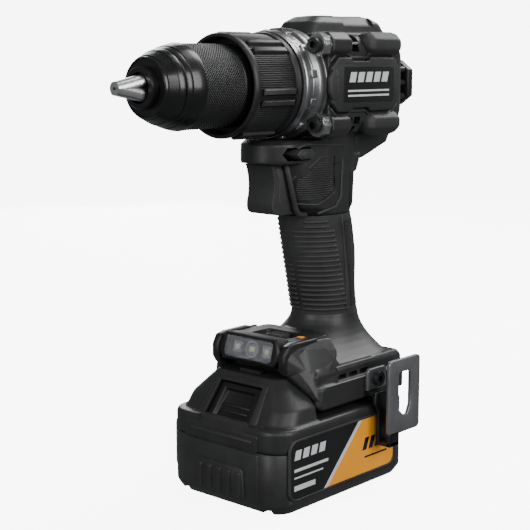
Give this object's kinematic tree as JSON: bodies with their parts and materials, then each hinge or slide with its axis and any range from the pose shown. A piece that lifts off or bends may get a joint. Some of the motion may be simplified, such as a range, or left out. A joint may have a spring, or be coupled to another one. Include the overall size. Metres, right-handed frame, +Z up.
{
  "type": "cordless drill",
  "caption": "Pistol-grip cordless drill driver with keyless chuck, torque collar, planetary gearbox, brushless motor and slide-on battery.",
  "frame": {"origin": "centre of the flat face that the battery rests on", "axes": "+X forward along the spindle, +Y to the drill's left side, +Z up"},
  "size_m": [0.1961, 0.0896, 0.2424],
  "materials": {
    "housing_plastic": "fine moulded texture, satin black",
    "soft_grip": "soft-touch overmould",
    "trim_plastic": "satin black",
    "control_plastic": "satin black",
    "plate": "dark grey, printed stripes",
    "case_metal": "dark grey cast metal",
    "collar_plastic": "ribbed, satin black",
    "chuck_black": "black oxide, gloss",
    "jaw_steel": "ground steel",
    "gear_steel": "machined",
    "bearing_steel": "polished",
    "spring_steel": "drawn wire",
    "black_screw": "black oxide",
    "hook_steel": "dark grey coated steel",
    "stator_steel": "laminations and windings",
    "board": "coated circuit board",
    "wire": "wire insulation",
    "lens": "clear lens",
    "cell": "shrink sleeve",
    "label": "printed black and amber label"
  },
  "bodies": {
    "tool_body": {"housing_left": "housing_plastic", "housing_right": "housing_plastic", "rear_cap": "trim_plastic", "grip_left": "soft_grip", "grip_right": "soft_grip", "side_plate_left": "plate", "side_plate_right": "plate", "rear_bumpers": "soft_grip", "housing_screws": "black_screw", "gear_case": "case_metal", "gear_case_screws": "black_screw", "gearbox_cover": "case_metal", "ring_gear_1": "gear_steel", "ring_gear_2": "gear_steel", "clutch_plate": "gear_steel", "spindle_bearings": "bearing_steel", "motor_bearings": "bearing_steel", "stator": "stator_steel", "switch_module": "trim_plastic", "controller": "board", "motor_wires": "wire", "terminal_block": "trim_plastic", "led_housing": "trim_plastic", "led_lens": "lens", "belt_hook": "hook_steel", "belt_hook_screw": "black_screw", "clutch_spring": "spring_steel", "trigger_spring": "spring_steel"},
    "trigger": {"trigger": "control_plastic"},
    "direction_button": {"direction_button": "control_plastic"},
    "speed_selector": {"speed_selector": "control_plastic"},
    "mode_switch": {"mode_switch": "control_plastic"},
    "torque_collar": {"torque_collar": "collar_plastic"},
    "clutch_nut": {"clutch_nut": "gear_steel"},
    "spindle": {"spindle": "gear_steel", "chuck_body": "chuck_black", "chuck_nose": "chuck_black"},
    "chuck_sleeve": {"chuck_sleeve": "chuck_black", "jaw_nut": "gear_steel"},
    "jaw_1": {"jaw_1": "jaw_steel"},
    "jaw_2": {"jaw_2": "jaw_steel"},
    "jaw_3": {"jaw_3": "jaw_steel"},
    "carrier_1": {"carrier_1": "gear_steel"},
    "planet_1a": {"planet_1a": "gear_steel"},
    "planet_1b": {"planet_1b": "gear_steel"},
    "planet_1c": {"planet_1c": "gear_steel"},
    "planet_2a": {"planet_2a": "gear_steel"},
    "planet_2b": {"planet_2b": "gear_steel"},
    "planet_2c": {"planet_2c": "gear_steel"},
    "rotor": {"rotor": "gear_steel", "motor_shaft": "gear_steel", "fan": "trim_plastic"},
    "battery": {"battery_lower_shell": "trim_plastic", "battery_upper_shell": "trim_plastic", "battery_cells": "cell", "cell_frames": "trim_plastic", "battery_board": "board", "battery_labels": "label"},
    "release_button": {"release_button": "control_plastic"},
    "gauge_button": {"gauge_button": "control_plastic"}
  },
  "joints": [
    {"name": "spindle_spin", "type": "hinge", "parent": "tool_body", "child": "spindle", "pos_m": [0.04, 0, 0.2074], "axis": [1, 0, 0], "continuous": true},
    {"name": "carrier_1_spin", "type": "hinge", "parent": "tool_body", "child": "carrier_1", "pos_m": [0, 0, 0.2074], "axis": [1, 0, 0], "continuous": true},
    {"name": "rotor_spin", "type": "hinge", "parent": "tool_body", "child": "rotor", "pos_m": [-0.04, 0, 0.2074], "axis": [1, 0, 0], "continuous": true},
    {"name": "planet_1a_spin", "type": "hinge", "parent": "carrier_1", "child": "planet_1a", "pos_m": [-0.009, 0, 0.19585], "axis": [1, 0, 0], "continuous": true},
    {"name": "planet_1b_spin", "type": "hinge", "parent": "carrier_1", "child": "planet_1b", "pos_m": [-0.009, 0.01, 0.21318], "axis": [1, 0, 0], "continuous": true},
    {"name": "planet_1c_spin", "type": "hinge", "parent": "carrier_1", "child": "planet_1c", "pos_m": [-0.009, -0.01, 0.21318], "axis": [1, 0, 0], "continuous": true},
    {"name": "planet_2a_spin", "type": "hinge", "parent": "spindle", "child": "planet_2a", "pos_m": [0.002, 0, 0.19503], "axis": [1, 0, 0], "continuous": true},
    {"name": "planet_2b_spin", "type": "hinge", "parent": "spindle", "child": "planet_2b", "pos_m": [0.002, 0.01072, 0.21359], "axis": [1, 0, 0], "continuous": true},
    {"name": "planet_2c_spin", "type": "hinge", "parent": "spindle", "child": "planet_2c", "pos_m": [0.002, -0.01072, 0.21359], "axis": [1, 0, 0], "continuous": true},
    {"name": "chuck_turn", "type": "hinge", "parent": "spindle", "child": "chuck_sleeve", "pos_m": [0.06, 0, 0.2074], "axis": [1, 0, 0], "range_deg": [0, 2520]},
    {"name": "jaw_1_slide", "type": "slide", "parent": "spindle", "child": "jaw_1", "axis": [-0.9703, 0.121, -0.2095], "range_m": [0, 0.0238]},
    {"name": "jaw_2_slide", "type": "slide", "parent": "spindle", "child": "jaw_2", "axis": [-0.9703, 0.121, 0.2095], "range_m": [0, 0.0238]},
    {"name": "jaw_3_slide", "type": "slide", "parent": "spindle", "child": "jaw_3", "axis": [-0.9703, -0.2419, 0], "range_m": [0, 0.0238]},
    {"name": "torque_collar_turn", "type": "hinge", "parent": "tool_body", "child": "torque_collar", "pos_m": [0.04, 0, 0.2074], "axis": [1, 0, 0], "range_deg": [0, 300]},
    {"name": "clutch_nut_slide", "type": "slide", "parent": "tool_body", "child": "clutch_nut", "axis": [-1, 0, 0], "range_m": [0, 0.005], "deforming": ["clutch_spring"]},
    {"name": "trigger_pull", "type": "slide", "parent": "tool_body", "child": "trigger", "axis": [-1, 0, 0], "range_m": [0, 0.006], "stiffness_N_per_m": 500, "deforming": ["trigger_spring"]},
    {"name": "direction_shift", "type": "slide", "parent": "tool_body", "child": "direction_button", "axis": [0, -1, 0], "range_m": [0, 0.004]},
    {"name": "speed_shift", "type": "slide", "parent": "tool_body", "child": "speed_selector", "axis": [-1, 0, 0], "range_m": [0, 0.011]},
    {"name": "lamp_mode_shift", "type": "slide", "parent": "tool_body", "child": "mode_switch", "axis": [0, 1, 0], "range_m": [-0.0055, 0.0055]},
    {"name": "battery_slide", "type": "slide", "parent": "tool_body", "child": "battery", "axis": [1, 0, 0], "range_m": [0, 0.11]},
    {"name": "release_press", "type": "slide", "parent": "battery", "child": "release_button", "axis": [-0.8192, 0, -0.5736], "range_m": [0, 0.0026], "stiffness_N_per_m": 800},
    {"name": "gauge_press", "type": "slide", "parent": "battery", "child": "gauge_button", "axis": [1, 0, 0], "range_m": [0, 0.0008], "stiffness_N_per_m": 800}
  ],
  "couplings": [
    {"joint": "carrier_1_spin", "follows": "spindle_spin", "ratio": 4.4},
    {"joint": "rotor_spin", "follows": "spindle_spin", "ratio": 24.2},
    {"joint": "planet_1a_spin", "follows": "spindle_spin", "ratio": -11.314},
    {"joint": "planet_1b_spin", "follows": "spindle_spin", "ratio": -11.314},
    {"joint": "planet_1c_spin", "follows": "spindle_spin", "ratio": -11.314},
    {"joint": "planet_2a_spin", "follows": "spindle_spin", "ratio": -2.8333},
    {"joint": "planet_2b_spin", "follows": "spindle_spin", "ratio": -2.8333},
    {"joint": "planet_2c_spin", "follows": "spindle_spin", "ratio": -2.8333},
    {"joint": "jaw_1_slide", "follows": "chuck_turn", "m_per_rad": 0.00053658},
    {"joint": "jaw_2_slide", "follows": "chuck_turn", "m_per_rad": 0.00053658},
    {"joint": "jaw_3_slide", "follows": "chuck_turn", "m_per_rad": 0.00053658},
    {"joint": "clutch_nut_slide", "follows": "torque_collar_turn", "m_per_rad": 0.00093583}
  ]
}
